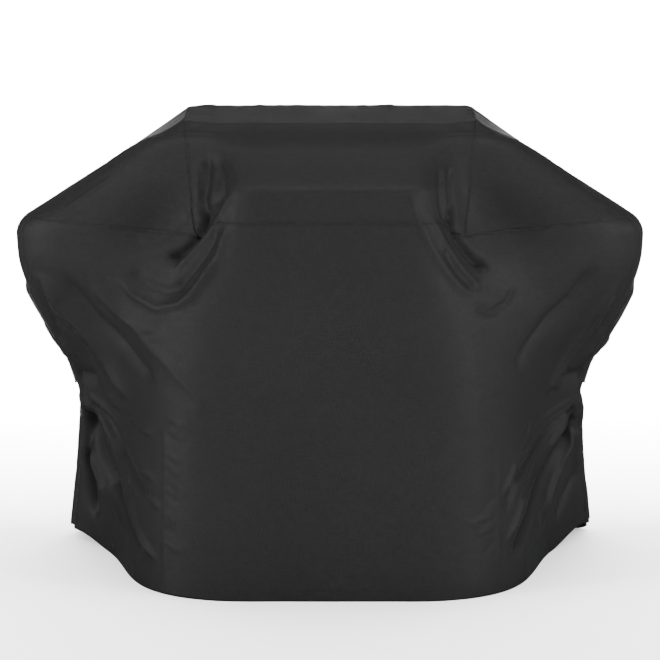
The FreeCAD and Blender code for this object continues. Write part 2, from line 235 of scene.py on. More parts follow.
def cut_along(mesh, value, where):
    """Give the mesh an edge wherever value crosses zero on the faces that where allows."""
    near = 0.22
    mesh.verts.index_update()
    mesh.verts.ensure_lookup_table()
    mesh.edges.ensure_lookup_table()
    places = np.array([v.co for v in mesh.verts])
    values = value(places)
    allowed = np.zeros(len(places), bool)
    inside = where(np.array([f.calc_center_median() for f in mesh.faces]))
    for face, ok in zip(mesh.faces, inside):
        if ok:
            for vert in face.verts:
                allowed[vert.index] = True
    ends = np.array([(e.verts[0].index, e.verts[1].index) for e in mesh.edges])
    crossing = (values[ends[:, 0]] * values[ends[:, 1]] < 0) & allowed[ends[:, 0]] & allowed[ends[:, 1]]
    crossed = [mesh.edges[i] for i in np.flatnonzero(crossing)]
    for edge in crossed:
        a, b = edge.verts
        if values[a.index] * values[b.index] >= 0:
            continue
        share = values[a.index] / (values[a.index] - values[b.index])
        if near < share < 1 - near:
            continue
        moved, other, part = (a, b, share) if share <= near else (b, a, 1 - share)
        moved.co = moved.co.lerp(other.co, part)
        values[moved.index] = 0.0
    on_line = [mesh.verts[i] for i in np.flatnonzero(allowed & (abs(values) < 1e-7))]
    for edge in crossed:
        a, b = edge.verts
        if values[a.index] * values[b.index] < 0:
            share = values[a.index] / (values[a.index] - values[b.index])
            on_line.append(bmesh.utils.edge_split(edge, a, share)[1])
    bmesh.ops.connect_verts(mesh, verts=on_line)


def cut_seams(mesh):
    """Cut the plain mesh along every seam of the pattern."""
    cut_along(mesh, behind_ridge, lambda p: np.ones(len(p), bool))
    cut_along(mesh, above_front, lambda p: behind_ridge(p) < 0)
    cut_along(mesh, inside_hood, lambda p: (behind_ridge(p) < 0) & (above_front(p) > 0))
    cut_along(mesh, behind_side,
              lambda p: (behind_ridge(p) < 0) & (above_front(p) < 0) & (abs(p[:, 0]) > SIDE_SEAM_FROM))


PANELS = ["front_panel", "hood_panel", "left_shoulder_panel", "right_shoulder_panel", "left_side_panel",
          "right_side_panel", "back_panel"]


def panel_of(p):
    """Number of the panel that each point of the plain shape belongs to."""
    right = p[:, 0] > 0
    lower = np.where((behind_side(p) > 0) & (abs(p[:, 0]) > SIDE_SEAM_FROM), 4 + right, 0)
    upper = np.where(inside_hood(p) > 0, 1, 2 + right)
    return np.where(behind_ridge(p) > 0, 6, np.where(above_front(p) > 0, upper, lower))


# ---- folds ----

# Each fold is a line of (place, height) points on the plain cloth, how wide it is and how far it stands out,
# in metres. Places count round the cover: 0 is the front centre, 3 the cart's front corner, 5 to 11 the side,
# 12 the back corner and 14 the back centre, and they are negative on the left.
FOLDS = [
    # The hollow where the hood meets the left shelf, its creases, and the curved folds below it.
    ([(-2.8, 0.885), (-2.8, 0.84), (-2.88, 0.81), (-3.0, 0.782), (-3.25, 0.755)], 0.011, -0.024),
    ([(-2.82, 1.0), (-2.9, 0.95), (-2.95, 0.9), (-2.82, 0.86), (-2.85, 0.82)], 0.013, -0.013),
    ([(-2.75, 0.99), (-2.45, 0.945), (-2.4, 0.91), (-2.65, 0.88)], 0.018, -0.011),
    ([(-2.68, 0.97), (-2.7, 0.92), (-2.68, 0.88)], 0.005, 0.004),
    ([(-3.08, 0.98), (-3.12, 0.92), (-3.0, 0.87), (-2.95, 0.84)], 0.006, 0.004),
    ([(-3.1, 0.9), (-3.2, 0.845), (-3.4, 0.8), (-3.8, 0.79)], 0.012, 0.004),
    ([(-2.1, 0.92), (-2.3, 0.872), (-2.55, 0.82), (-2.82, 0.768), (-3.05, 0.73)], 0.008, 0.009),
    ([(-2.15, 0.85), (-2.22, 0.77), (-2.42, 0.715), (-2.6, 0.66)], 0.01, 0.008),
    ([(-2.35, 0.84), (-2.5, 0.78), (-2.7, 0.73), (-2.9, 0.69)], 0.01, -0.008),
    ([(-4.05, 0.725), (-3.6, 0.675), (-3.12, 0.65), (-2.7, 0.665), (-2.38, 0.725), (-2.25, 0.8)], 0.01, 0.01),
    ([(-3.8, 0.74), (-3.4, 0.7), (-3.0, 0.69), (-2.65, 0.71)], 0.014, -0.008),
    ([(-4.4, 0.7), (-3.9, 0.63), (-3.3, 0.585), (-2.8, 0.585)], 0.014, 0.007),
    ([(-3.6, 0.6), (-2.9, 0.54), (-2.3, 0.475), (-2.0, 0.43)], 0.018, 0.007),
    # The same on the right, where it is narrower.
    ([(2.78, 0.89), (2.7, 0.84), (2.76, 0.8), (2.88, 0.765), (3.1, 0.735)], 0.01, -0.024),
    ([(2.58, 0.965), (2.52, 0.92), (2.5, 0.88), (2.62, 0.83)], 0.011, -0.012),
    ([(2.82, 0.965), (2.8, 0.9), (2.76, 0.86)], 0.009, -0.011),
    ([(2.7, 0.96), (2.66, 0.91), (2.64, 0.87)], 0.005, 0.004),
    ([(1.65, 0.915), (1.72, 0.88), (1.93, 0.83), (2.15, 0.77), (2.42, 0.705), (2.8, 0.672)], 0.01, 0.007),
    ([(2.15, 0.87), (2.35, 0.8), (2.58, 0.737), (2.85, 0.69)], 0.009, 0.008),
    ([(2.3, 0.8), (2.45, 0.745), (2.7, 0.7)], 0.008, -0.008),
    ([(2.55, 0.655), (2.9, 0.645), (3.2, 0.66), (3.45, 0.695)], 0.009, -0.007),
    # Fine creases along the top and down the outer edge of each shoulder.
    ([(-5.5, 1.052), (-4.4, 1.055), (-3.25, 1.057), (-2.38, 1.053)], 0.0045, 0.003),
    ([(-5.5, 1.052), (-6.1, 0.985), (-5.9, 0.933), (-5.6, 0.88)], 0.0045, 0.0035),
    ([(-4.88, 0.94), (-4.9, 0.905), (-4.92, 0.865)], 0.006, 0.003),
    ([(5.5, 1.052), (4.4, 1.055), (3.25, 1.057), (2.38, 1.055)], 0.0045, 0.003),
    ([(5.5, 1.05), (6.1, 0.985), (5.9, 0.933), (5.5, 0.875)], 0.0045, 0.0035),
    # Cloth drawn from the shelf tips to the waist.
    ([(-5.05, 0.73), (-4.9, 0.645), (-4.5, 0.55), (-4.25, 0.47), (-3.9, 0.41)], 0.03, 0.017),
    ([(-4.8, 0.735), (-4.3, 0.61), (-3.6, 0.53), (-3.0, 0.48)], 0.024, -0.012),
    ([(-5.12, 0.71), (-5.2, 0.62), (-5.4, 0.52)], 0.009, -0.007),
    ([(5.2, 0.72), (4.92, 0.62), (4.78, 0.55), (4.55, 0.46), (4.5, 0.41)], 0.013, 0.015),
    ([(4.7, 0.75), (4.35, 0.66), (3.65, 0.56), (3.3, 0.5)], 0.02, -0.01),
    ([(5.12, 0.7), (5.2, 0.6), (5.35, 0.5)], 0.009, -0.007),
    # Fans of long straight folds below the waist.
    ([(-5.3, 0.37), (-5.12, 0.28), (-4.92, 0.17), (-4.78, 0.05)], 0.014, -0.028),
    ([(-5.27, 0.395), (-5.2, 0.3), (-4.67, 0.155), (-3.55, 0.06)], 0.009, 0.013),
    ([(-5.25, 0.38), (-4.5, 0.19), (-3.2, 0.075)], 0.019, -0.036),
    ([(-5.1, 0.39), (-3.82, 0.19), (-2.95, 0.065)], 0.008, 0.014),
    ([(-5.0, 0.38), (-4.25, 0.285), (-3.0, 0.2)], 0.012, -0.014),
    ([(-5.2, 0.41), (-3.95, 0.315), (-2.92, 0.25)], 0.009, 0.009),
    ([(-4.7, 0.405), (-3.9, 0.38), (-3.0, 0.36)], 0.01, 0.008),
    ([(-3.35, 0.226), (-2.9, 0.196)], 0.006, 0.005),
    ([(5.2, 0.395), (4.3, 0.345), (3.3, 0.295)], 0.006, 0.007),
    ([(5.4, 0.39), (4.45, 0.335), (3.25, 0.285), (2.95, 0.215)], 0.006, 0.009),
    ([(5.4, 0.385), (4.5, 0.31), (3.3, 0.25), (3.0, 0.18)], 0.009, -0.014),
    ([(5.42, 0.382), (4.55, 0.275), (3.4, 0.195), (3.02, 0.105)], 0.007, 0.012),
    ([(5.45, 0.375), (4.75, 0.26), (3.75, 0.15), (3.1, 0.075)], 0.016, -0.034),
    ([(5.45, 0.365), (4.9, 0.25), (4.4, 0.13), (3.8, 0.05)], 0.008, 0.014),
    ([(5.4, 0.3), (4.95, 0.16), (4.6, 0.06)], 0.012, -0.01),
    # The cart's front corners.
    ([(-2.83, 0.41), (-2.83, 0.22), (-2.86, 0.04)], 0.0045, 0.003),
    ([(2.92, 0.34), (2.9, 0.22), (2.93, 0.05)], 0.0045, 0.0022),
    # Pleats above and below the straps, on the sides.
    ([(6.3, 0.4), (6.3, 0.25), (6.1, -0.01)], 0.016, 0.008),
    ([(7.2, 0.4), (7.1, 0.25), (6.9, -0.01)], 0.015, -0.02),
    ([(8.1, 0.4), (8.0, 0.25), (7.9, -0.01)], 0.016, 0.016),
    ([(9.0, 0.4), (9.0, 0.25), (9.0, -0.01)], 0.015, -0.02),
    ([(9.9, 0.4), (10.1, 0.25), (10.3, -0.01)], 0.018, 0.014),
    ([(6.6, 0.5), (6.5, 0.58), (6.3, 0.7)], 0.016, 0.012),
    ([(7.4, 0.5), (7.3, 0.58), (7.2, 0.68)], 0.016, -0.014),
    ([(8.4, 0.5), (8.4, 0.6), (8.5, 0.7)], 0.017, 0.012),
    ([(9.3, 0.5), (9.4, 0.58), (9.7, 0.68)], 0.017, -0.012),
    ([(-6.6, 0.4), (-6.5, 0.25), (-6.4, -0.01)], 0.016, -0.008),
    ([(-7.6, 0.4), (-7.6, 0.25), (-7.5, -0.01)], 0.016, -0.02),
    ([(-8.5, 0.4), (-8.5, 0.25), (-8.6, -0.01)], 0.017, 0.016),
    ([(-9.5, 0.4), (-9.6, 0.25), (-9.9, -0.01)], 0.017, -0.018),
    ([(-6.8, 0.5), (-6.7, 0.6), (-6.4, 0.7)], 0.017, 0.012),
    ([(-7.6, 0.5), (-7.5, 0.6), (-7.4, 0.7)], 0.016, -0.013),
    ([(-8.6, 0.5), (-8.7, 0.6), (-8.9, 0.7)], 0.017, 0.012),
    # The cloth sunk in ahead of the straps, so that strap and buckle stand out from it.
    ([(-4.7, 0.45), (-5.15, 0.45), (-5.6, 0.45)], 0.024, -0.014),
    ([(4.7, 0.45), (5.15, 0.45), (5.6, 0.45)], 0.024, -0.014),
    # The back: cloth drawn to the waist, and folds down from it.
    ([(10.9, 0.41), (11.6, 0.3), (12.3, 0.15), (12.6, -0.01)], 0.018, 0.014),
    ([(10.9, 0.39), (11.3, 0.25), (11.7, 0.1), (11.8, -0.01)], 0.015, -0.016),
    ([(11.0, 0.48), (11.7, 0.58), (12.5, 0.68), (13.1, 0.74)], 0.02, 0.012),
    ([(11.2, 0.45), (12.2, 0.48), (13.2, 0.56)], 0.018, -0.008),
    ([(12.1, 0.9), (12.4, 0.82), (12.9, 0.74), (13.5, 0.7)], 0.016, -0.012),
    ([(-11.0, 0.41), (-11.7, 0.28), (-12.2, 0.13), (-12.4, -0.01)], 0.017, 0.015),
    ([(-10.9, 0.38), (-11.2, 0.24), (-11.5, 0.1), (-11.6, -0.01)], 0.015, -0.015),
    ([(-11.0, 0.485), (-11.9, 0.6), (-12.8, 0.7)], 0.02, 0.012),
    ([(-11.3, 0.445), (-12.3, 0.44), (-13.3, 0.5)], 0.018, -0.008),
    ([(-12.0, 0.89), (-12.4, 0.8), (-13.0, 0.73)], 0.016, -0.011),
]
FOLD_STEPS = 24
FOLD_CREST = 0.24  # how rounded a fold's crest is, as a share of its width
FOLD_STEEP = 1.2  # how fast a fold falls away from its crest
FOLD_REACH = 3.6  # how far a fold's foot spreads, in widths
FOLD_ENDS = 0.18  # share of a fold's length over which it fades in, and out
TOP_FALL = 0.031  # how far the top falls from the ridge seam to its front edge
TOP_RUN = (0.150, -0.084)  # y of that seam and edge
TOP_FALL_FROM = 1.0  # height from which the cloth below follows
LEFT_HEM_LIFT = 0.026
RIGHT_HEM_LIFT = 0.042
HEM_LIFT_X = (0.54, 0.64)  # the hem's lift eases in over this stretch of x
HEM_LIFT_Y = (0.33, 0.27)  # and of y, from the back
HEM_LIFT_Z = 0.25  # and is gone at this height
STRAP_ZONE = ((0.066, 0.272), (0.412, 0.488))  # y and z of the cloth that lies flat under each strap
STRAP_ZONE_EDGE = 0.03  # over which the cloth goes back to its own shape
STRAP_ZONE_DIP = 0.0008  # how far in the cloth under a strap is held
# Soft unevenness: how far out, and the size of its features.
SLOW_WAVE = (0.0011, 0.16)
SMALL_WAVE = (0.0004, 0.05)
SEAM_PUCKER = (0.0011, 0.016)
RIDGE_PUCKER = (0.0042, 0.024)
SEAM_PUCKER_REACH = 0.013
RIDGE_PUCKER_REACH = 0.010
RIDGE_PUCKER_FROM = 0.9  # height above which the ridge puckers, fully so 0.1 m higher


def fold_line(points):
    """A fold's line as points on the plain cloth."""
    points = np.array(points)
    t = np.linspace(0, len(points) - 1, FOLD_STEPS + 1)
    places = np.interp(t, range(len(points)), points[:, 0])
    heights = np.interp(t, range(len(points)), points[:, 1])
    lines = np.array([curve.at(abs(places)) for curve in OUTLINES])
    flat = np.einsum("hk,khc->hc", level_shares(np.maximum(heights, 0)), lines)
    return np.column_stack([np.copysign(flat[:, 0], places), flat[:, 1], heights])


def fold_strength(base, line):
    """For each point, its distance to the line and its share along it."""
    nearest = np.full(len(base), 9.0)
    along = np.zeros(len(base))
    for k, (a, b) in enumerate(zip(line, line[1:])):
        run = b - a
        share = np.clip((base - a) @ run / max(run @ run, 1e-12), 0, 1)
        gap = np.linalg.norm(base - a - share[:, None] * run, axis=1)
        closer = gap < nearest
        nearest[closer] = gap[closer]
        along[closer] = (k + share[closer]) / (len(line) - 1)
    return nearest, along


def ease(value, start, end):
    """0 at the start and 1 at the end, with an easy run between them."""
    x = np.clip((value - start) / (end - start), 0, 1)
    return x * x * (3 - 2 * x)


def fold_out(base, folds):
    """How far these folds together move each point out from the plain cloth."""
    out = np.zeros(len(base))
    for points, width, height in folds:
        line = fold_line(points)
        reach = FOLD_REACH * width
        close = np.all((base > line.min(0) - reach) & (base < line.max(0) + reach), axis=1)
        gap, along = fold_strength(base[close], line)
        ends = ease(along, 0, FOLD_ENDS)
        if points[-1][1] > 0:
            ends = ends * ease(along, 1, 1 - FOLD_ENDS)
        across = gap / width
        shape = np.exp(FOLD_STEEP * (FOLD_CREST - np.sqrt(across**2 + FOLD_CREST**2)))
        out[close] += height * shape * np.clip(1 - (across / FOLD_REACH)**2, 0, 1)**2 * ends
    return out


def soft_noise(points, wave, seed):
    """Soft noise of this wave's height, with features of its size."""
    height, size = wave
    shift = Vector((seed * 7.3, seed * 3.1, seed * 5.7))
    return height * np.array([noise.noise(Vector(p) / size + shift) for p in points])


def seam_gap(base):
    """Rough distance of each point from the nearest seam."""
    upper = (behind_ridge(base) < 0) & (above_front(base) > 0)
    lower = (behind_ridge(base) < 0) & (above_front(base) < 0) & (abs(base[:, 0]) > SIDE_SEAM_FROM)
    gap = abs(behind_ridge(base))
    gap = np.where(behind_ridge(base) < 0, np.minimum(gap, abs(above_front(base))), gap)
    gap = np.where(upper, np.minimum(gap, abs(inside_hood(base))), gap)
    return np.where(lower, np.minimum(gap, abs(behind_side(base))), gap)


def under_strap(base):
    """1 under the straps and fading to 0 just outside them."""
    (y0, y1), (z0, z1) = STRAP_ZONE
    x, y, z = base.T
    past = np.maximum.reduce([y0 - y, y - y1, z0 - z, z - z1])
    return np.where(abs(x) > SIDE_SEAM_FROM, 1 - ease(past, 0, STRAP_ZONE_EDGE), 0)


def cloth_out(base):
    """How far every fold, pucker and small unevenness moves each point out from the plain cloth."""
    out = fold_out(base, FOLDS + small_wrinkles())
    out += soft_noise(base * (1, 1, 0.6), SLOW_WAVE, 1) + soft_noise(base, SMALL_WAVE, 2)
    gathered = np.exp(-seam_gap(base) / SEAM_PUCKER_REACH)
    out += gathered * soft_noise(base, SEAM_PUCKER, 3)
    on_ridge = np.exp(-abs(behind_ridge(base)) / RIDGE_PUCKER_REACH)
    on_ridge *= ease(base[:, 2], RIDGE_PUCKER_FROM, RIDGE_PUCKER_FROM + 0.1)
    out += on_ridge * soft_noise(base * (1, 0, 0), RIDGE_PUCKER, 4)
    strap = under_strap(base)
    return out * (1 - strap) - STRAP_ZONE_DIP * strap


def top_fall(base):
    """How far the top falls from the ridge seam towards its front edge."""
    forward = np.interp(-base[:, 1], [-y for y in TOP_RUN], (0, 1))
    return TOP_FALL * forward * ease(base[:, 2], TOP_FALL_FROM, TOP_Z)


def hem_lift(base):
    """How far the sides' hem is drawn up, easing to nothing at the cart's corners and higher up."""
    highest = np.where(base[:, 0] < 0, LEFT_HEM_LIFT, RIGHT_HEM_LIFT)
    beside = ease(abs(base[:, 0]), *HEM_LIFT_X) * ease(base[:, 1], *HEM_LIFT_Y)
    return highest * beside * ease(base[:, 2], HEM_LIFT_Z, 0)


CORNER_WRINKLES = ((-1, 9), (1, 4))  # side and count
CORNER = 2.84  # place of the cart's front corner
CORNER_LOWEST = 0.13
CORNER_STEP = 0.034
CORNER_SIZE = (0.0055, 0.0024)  # width and height, as in a fold
WAIST_WRINKLES = 12
WAIST_FROM = 5.2
WAIST_STEP = 0.42
WAIST_HEIGHTS = (0.408, 0.492)  # just below and above the strap
WAIST_SIZE = (0.009, 0.0042)


def small_wrinkles():
    """Short wrinkles where the cloth bunches, beside the cart's front corners and at the waist."""
    order = np.random.default_rng(11)
    below, above = WAIST_HEIGHTS
    found = []
    for side, count in CORNER_WRINKLES:
        for k in range(count):
            z = CORNER_LOWEST + CORNER_STEP * k + order.uniform(-0.01, 0.01)
            end = 2.50 + order.uniform(-0.15, 0.15)
            fall = order.uniform(0.012, 0.030)
            line = [(side * CORNER, z), (side * (CORNER + end) / 2, z - 0.4 * fall), (side * end, z - fall)]
            width, height = CORNER_SIZE
            found.append((line, width, height * order.choice((-1, 1))))
        for k in range(WAIST_WRINKLES):
            place = side * (WAIST_FROM + WAIST_STEP * k + order.uniform(-0.1, 0.1))
            up = order.uniform(0.05, 0.10)
            found.append(([(place, above), (place + order.uniform(-0.08, 0.08), above + up)], *WAIST_SIZE))
            found.append(([(place + 0.15, below), (place + order.uniform(0, 0.2), below - up)], *WAIST_SIZE))
    return found


# ---- panels ----

CLOTH = 0.0012  # cloth and its coating
SEAM_DIP = 0.0017  # how far a panel's edge is drawn in where it is sewn
SEAM_ROLL = 0.0016  # width of the cloth that turns in at a seam


def link(name, data):
    made = bpy.data.objects.new(name, data)
    bpy.context.scene.collection.objects.link(made)
    return made


def closed_piece(name, verts, faces, material):
    """A closed mesh with its faces turned outwards."""
    data = bpy.data.meshes.new(name)
    data.from_pydata([tuple(v) for v in verts], [], faces)
    mesh = bmesh.new()
    mesh.from_mesh(data)
    bmesh.ops.recalc_face_normals(mesh, faces=mesh.faces)
    mesh.to_mesh(data)
    mesh.free()
    data.polygons.foreach_set("use_smooth", [True] * len(data.polygons))
    data.materials.append(material)
    return link(name, data)


def make_panel(name, faces, surface, material):
    """One panel of cloth with its thickness, its edges drawn in along the seams."""
    mesh = bmesh.new()
    made = {}
    source = {}
    for face in faces:
        corners = []
        for i in face:
            if i not in made:
                made[i] = mesh.verts.new(surface.places[i])
                source[made[i]] = i
            corners.append(made[i])
        mesh.faces.new(corners)
    bmesh.ops.inset_region(mesh, faces=mesh.faces[:], thickness=SEAM_ROLL, use_boundary=True,
                           use_even_offset=True)
    mesh.normal_update()
    outer = mesh.verts[:]
    depth = {}
    for vert in outer:
        normal = vert.normal.copy()
        if vert.is_boundary and vert in source:
            normal = Vector(surface.normals[source[vert]])
            vert.co -= normal * SEAM_DIP
        depth[vert] = normal
    rim = [edge for edge in mesh.edges if edge.is_boundary]
    outer_faces = mesh.faces[:]
    inner = {vert: mesh.verts.new(vert.co - depth[vert] * CLOTH) for vert in outer}
    for face in outer_faces:
        mesh.faces.new([inner[v] for v in reversed(face.verts[:])])
    for edge in rim:
        loop = edge.link_loops[0]
        a, b = loop.vert, loop.link_loop_next.vert
        mesh.faces.new((b, a, inner[a], inner[b]))
        edge.smooth = False
    for vert in mesh.verts:
        vert.co.z = max(vert.co.z, 0.0)
    for face in mesh.faces:
        face.smooth = True
    data = bpy.data.meshes.new(name)
    mesh.to_mesh(data)
    mesh.free()
    data.materials.append(material)
    return link(name, data)


# ---- seams, tapes, hems and stitches ----

def longest_run(edges):
    """The longest line that these edges make end to end. An edge is a pair of point numbers."""
    beside = {}
    for a, b in edges:
        beside.setdefault(a, []).append(b)
        beside.setdefault(b, []).append(a)
    left = {frozenset(e) for e in edges}
    ends = [p for p, others in beside.items() if len(others) == 1] + list(beside)
    lines = []
    for start in ends:
        while True:
            line = [start]
            while True:
                following = [q for q in beside[line[-1]] if frozenset((line[-1], q)) in left]
                if not following:
                    break
                left.discard(frozenset((line[-1], following[0])))
                line.append(following[0])
            if len(line) < 2:
                break
            lines.append(line)
    return max(lines, key=len)


def evenly(points, step):
    """Points spaced evenly along a line of points."""
    along = np.concatenate([[0], np.cumsum(np.linalg.norm(np.diff(points, axis=0), axis=1))])
    wanted = np.linspace(0, along[-1], max(int(along[-1] / step), 2) + 1)
    return np.column_stack([np.interp(wanted, along, column) for column in points.T])


class Surface:
    """The finished outer face of the cloth, to lay tapes and stitches on."""

    def __init__(self, places, normals, faces):
        self.tree = BVHTree.FromPolygons([tuple(p) for p in places], faces)
        self.normals = normals
        self.faces = faces
        self.places = places

    def near(self, point):
        """Nearest point on the cloth, and the smooth normal there."""
        spot, normal, face, gap = self.tree.find_nearest(Vector(point))
        corners = self.faces[face]
        weights = 1 / (np.linalg.norm(self.places[corners] - np.array(spot), axis=1) + 1e-5)
        smooth = weights @ self.normals[corners]
        return np.array(spot), smooth / np.linalg.norm(smooth)

    def frames(self, line):
        """Place, normal, way along and way across at each point of a line on the cloth."""
        ways = np.gradient(line, axis=0)
        found = []
        for point, way in zip(line, ways):
            spot, normal = self.near(point)
            across = np.cross(normal, way)
            across /= np.linalg.norm(across)
            found.append((spot, normal, np.cross(across, normal), across))
        return found


STRIP_FLOOR = 0.0004  # lowest that a tape or hem goes


def tube_faces(around, rings):
    """Faces of a closed tube with this many points around and this many rings."""
    faces = []
    for k in range(rings - 1):
        for i in range(around):
            j = (i + 1) % around
            faces.append((k * around + i, k * around + j, (k + 1) * around + j, (k + 1) * around + i))
    last = (rings - 1) * around
    return faces + [tuple(range(around))[::-1], tuple(range(last, last + around))]


def strip_on(name, surface, line, across, depths, thickness, material):
    """A strip of tape or hem that follows the inside of the cloth, as a closed sheet."""
    verts = []
    for spot, normal, way, side in surface.frames(line):
        ring = []
        for offset, depth in zip(across, depths):
            there, out = surface.near(spot + side * offset)
            ring.append(there - out * depth)
            ring.append(there - out * (depth + thickness))
        verts += ring[0::2] + ring[1::2][::-1]
    verts = [(x, y, max(z, STRIP_FLOOR)) for x, y, z in verts]
    return closed_piece(name, verts, tube_faces(2 * len(across), len(line)), material)


STITCH = 0.0030  # length
STITCH_PITCH = 0.0044
THREAD = 0.0004  # radius
STITCH_SHAPE = [(-0.5, 0.25), (-0.32, 0.85), (0.0, 1.0), (0.32, 0.85), (0.5, 0.25)]  # along, share of radius
THREAD_SIDES = 6


class Sewing:
    """Stitches gathered into one piece, each a short thread that sinks into the cloth at both ends."""

    def __init__(self):
        self.verts = []
        self.faces = []

    def stitch(self, place, way, out):
        side = np.cross(out, way)
        start = len(self.verts)
        for along, share in STITCH_SHAPE:
            middle = place + way * STITCH * along + out * THREAD * (1.3 * share - 0.8)
            for k in range(THREAD_SIDES):
                turn = 2 * math.pi * k / THREAD_SIDES
                self.verts.append(middle + THREAD * share * (math.cos(turn) * side + math.sin(turn) * out))
        self.faces += [tuple(start + i for i in face) for face in tube_faces(THREAD_SIDES, len(STITCH_SHAPE))]


def stitches(name, surface, line, offsets, material):
    """Rows of stitches that lie on the cloth, this far to each side of the line."""
    sewing = Sewing()
    for spot, normal, way, across in surface.frames(evenly(line, STITCH_PITCH)):
        for offset in offsets:
            there, out = surface.near(spot + across * offset)
            sewing.stitch(there, way, out)
    return closed_piece(name, sewing.verts, sewing.faces, material)


# ---- straps ----

STRAP_PLACE = (0.614, 0.450)  # x and z of the middle of the strap's width on the plain right side
STRAP_TILT = math.atan2(0.032, 0.100)  # how far the plain side leans there
STRAP_OUT = 0.0018  # from that point out to the face that the straps lie on
WEBBING = 0.0016  # thickness
WEBBING_HALF = 0.025  # half width
LIFT = 0.0005  # gap under the webbing, and between its layers
LOOP_CLEAR = 0.0005  # gap between the webbing and the bar that it goes round
LOW = LIFT + WEBBING / 2  # height of the middle of the lowest layer
FRONT_TOP = LOW + WEBBING + LIFT  # and of the front strap's turned-back layer
SOCKET_BAR = (0.11625, 0.0070, 0.00225)  # y, height off the cloth, half thickness
CENTRE_BAR = (0.174, 0.00565, 0.00167)
PLUG_REAR = 0.186  # y of the plug's rear edge
REAR_END = 0.262  # y where the rear strap ends
TAIL_END = 0.222
TAIL_FOLD = 0.014
# Where the webbing is sewn: y of a box stitch's ends, or of a single row.
FRONT_BOX = (0.085, 0.095)
FRONT_ROW = 0.0775
REAR_BOX = (0.239, 0.259)
TAIL_ROW = 0.211
SEWN_HALF = WEBBING_HALF - 0.004
RIBS = 9
RIB_COLUMNS = 54
RIB_HEIGHT = 0.00014
EDGE_ROUND = 0.03  # share of the half width over which the edge rounds off
WEBBING_STEP = 0.0011  # between points along the webbing


def on_strap(side, n, y, w):
    """Point from its height off the cloth, y, and place up the slope."""
    n = n + STRAP_OUT
    x = STRAP_PLACE[0] + n * math.cos(STRAP_TILT) + w * math.sin(STRAP_TILT)
    z = STRAP_PLACE[1] - n * math.sin(STRAP_TILT) + w * math.cos(STRAP_TILT)
    return (side * x, y, z)


def loop_points(bar, start, end, steps=10):
    """Points of webbing that goes round a bar, from one angle to another."""
    y, n, half = bar
    radius = half * math.sqrt(2) + LOOP_CLEAR + WEBBING / 2
    turns = [math.radians(start + (end - start) * i / steps) for i in range(steps + 1)]
    return [(y + radius * math.cos(a), n + radius * math.sin(a)) for a in turns]


def rounded_path(points):
    """Evenly spaced points along straight runs, with their corners eased."""
    path = evenly(np.array(points), WEBBING_STEP)
    for _ in range(2):
        path[1:-1] = (path[:-2] + 2 * path[1:-1] + path[2:]) / 4
    return path


def webbing(name, side, points, material):
    """Ribbed webbing along a path of (y, height) points."""
    path = rounded_path(points)
    ways = np.gradient(path, axis=0)
    ways /= np.linalg.norm(ways, axis=1)[:, None]
    across = np.linspace(-1, 1, RIB_COLUMNS + 1)
    ribs = RIB_HEIGHT * np.cos(across * math.pi * RIBS)
    edge = np.sqrt(np.clip(1 - ((abs(across) - 1 + EDGE_ROUND) / EDGE_ROUND).clip(0, 1)**2, 0.04, 1))
    half = (WEBBING / 2 - RIB_HEIGHT + ribs) * edge
    verts = []
    for (y, n), (way_y, way_n) in zip(path, ways):
        top = [on_strap(side, n + way_y * h, y - way_n * h, w * WEBBING_HALF) for w, h in zip(across, half)]
        low = [on_strap(side, n - way_y * h, y + way_n * h, w * WEBBING_HALF) for w, h in zip(across, half)]
        verts += top + low[::-1]
    faces = tube_faces(2 * len(across), len(path))
    if side < 0:
        faces = [face[::-1] for face in faces]
    return closed_piece(name, verts, faces, material)


def strap_stitches(name, side, runs, material):
    """Stitches on webbing, along runs of (y, w, height) end points."""
    sewing = Sewing()
    out = np.array([side * math.cos(STRAP_TILT), 0, -math.sin(STRAP_TILT)])
    for (y0, w0, n), (y1, w1, _) in runs:
        start, end = np.array(on_strap(side, n, y0, w0)), np.array(on_strap(side, n, y1, w1))
        length = np.linalg.norm(end - start)
        way = (end - start) / length
        for i in range(int(length / STITCH_PITCH)):
            sewing.stitch(start + way * STITCH_PITCH * (i + 0.5), way, out)
    return closed_piece(name, sewing.verts, sewing.faces, material)


def row_stitch(y, height):
    """A row across the webbing."""
    return (y, -SEWN_HALF, height), (y, SEWN_HALF, height)


def box_stitch(y0, y1, height):
    """A sewn rectangle with a cross in it."""
    half = SEWN_HALF
    corners = [(y0, -half, height), (y1, -half, height), (y1, half, height), (y0, half, height)]
    sides = list(zip(corners, corners[1:] + corners[:1]))
    return sides + [(corners[0], corners[2]), (corners[1], corners[3])]


# ---- materials ----

